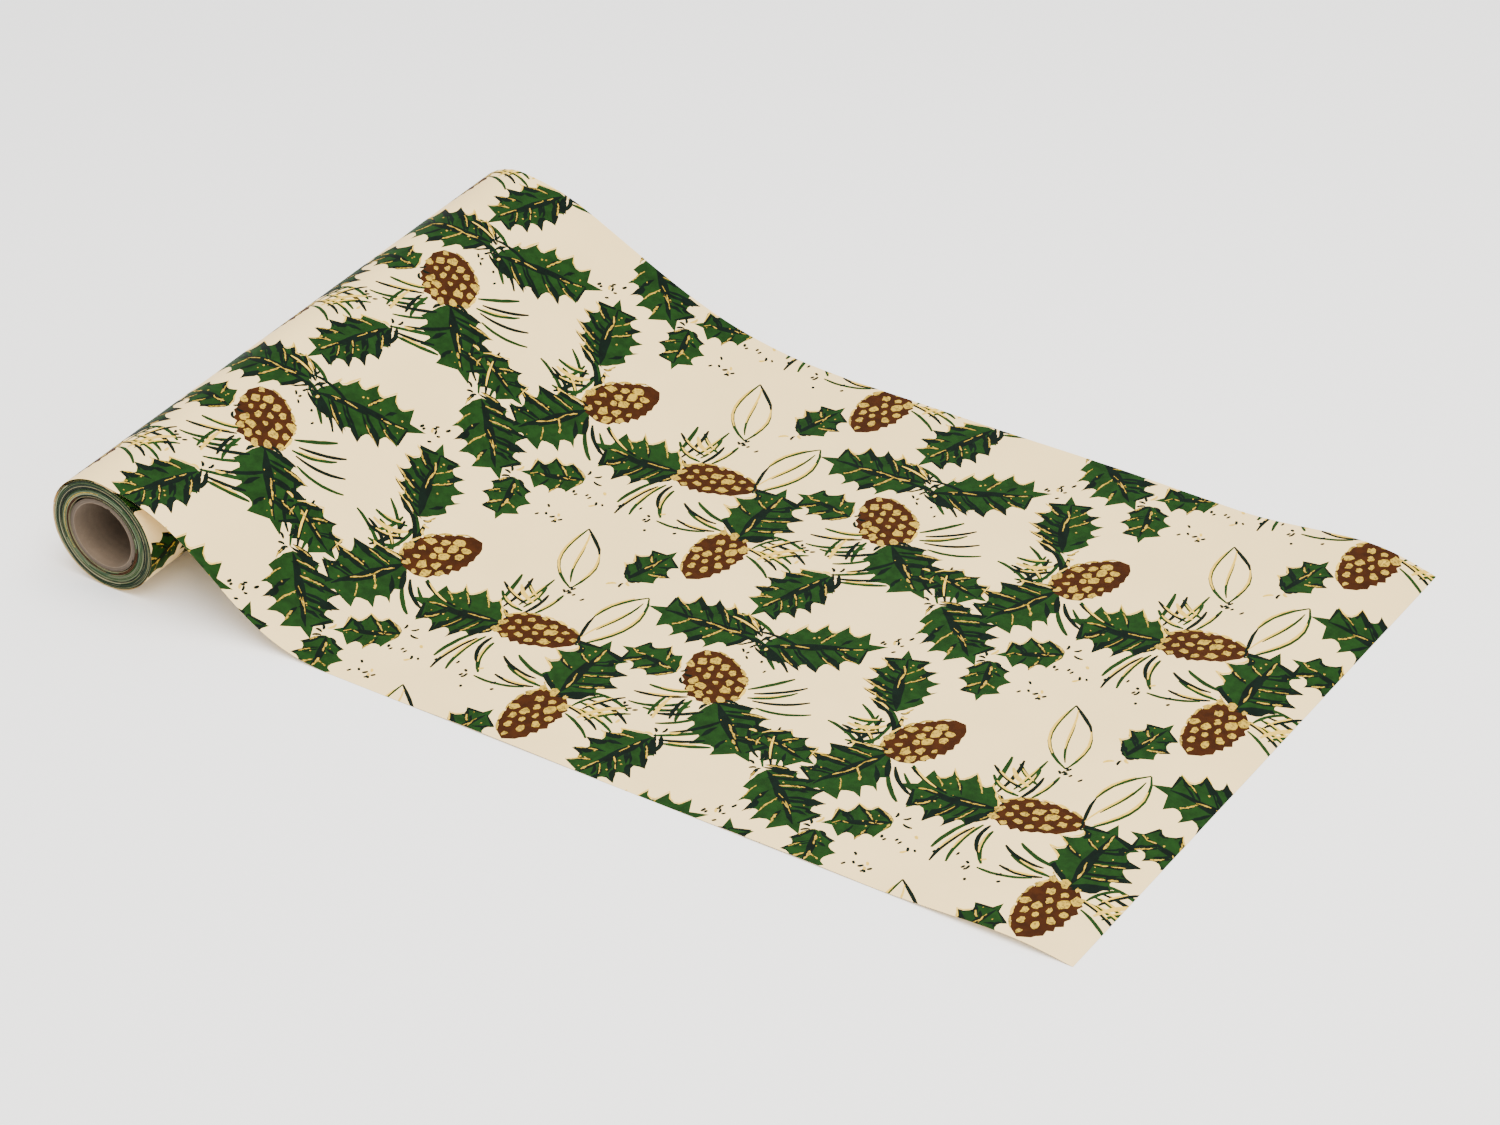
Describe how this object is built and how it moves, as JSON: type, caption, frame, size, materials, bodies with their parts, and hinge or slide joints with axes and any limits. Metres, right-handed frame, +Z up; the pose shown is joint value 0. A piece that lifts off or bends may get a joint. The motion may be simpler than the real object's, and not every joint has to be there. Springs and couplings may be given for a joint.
{
  "type": "wrapping paper roll",
  "caption": "Roll of gift wrapping paper on a cardboard core, partly unrolled: the web leaves the top of the roll, ramps down and lies flat to a gently curled free end.",
  "frame": {"origin": "middle of the footprint, on the table surface", "axes": "+X the way the paper is drawn out, +Y along the roll's axis towards the far edge, +Z up"},
  "size_m": [0.8252, 0.5, 0.0887],
  "materials": {
    "printed_paper": "satin",
    "wound_paper": "matte",
    "kraft_board": "matte",
    "chipboard": "matte",
    "tail_tape": "satin"
  },
  "bodies": {
    "rise": {"web_rise": "printed_paper"},
    "roll": {"core_liner_ply": "chipboard", "core_body_plies": "chipboard", "core_cover_ply": "kraft_board", "tail_tape": "tail_tape", "wound_turns": "wound_paper", "loose_outer_turns": "wound_paper"},
    "sheet": {"laid_sheet": "printed_paper"}
  },
  "joints": [
    {"name": "roll_turn", "type": "hinge", "parent": "rise", "child": "roll", "pos_m": [-0.3684, 0, 0.04391], "axis": [0, 1, 0], "range_deg": [0, 90]},
    {"name": "sheet_feed", "type": "slide", "parent": "rise", "child": "sheet", "axis": [1, 0, 0], "range_m": [0, 0.0701]}
  ],
  "couplings": [
    {"joint": "sheet_feed", "follows": "roll_turn", "m_per_rad": 0.04465}
  ]
}
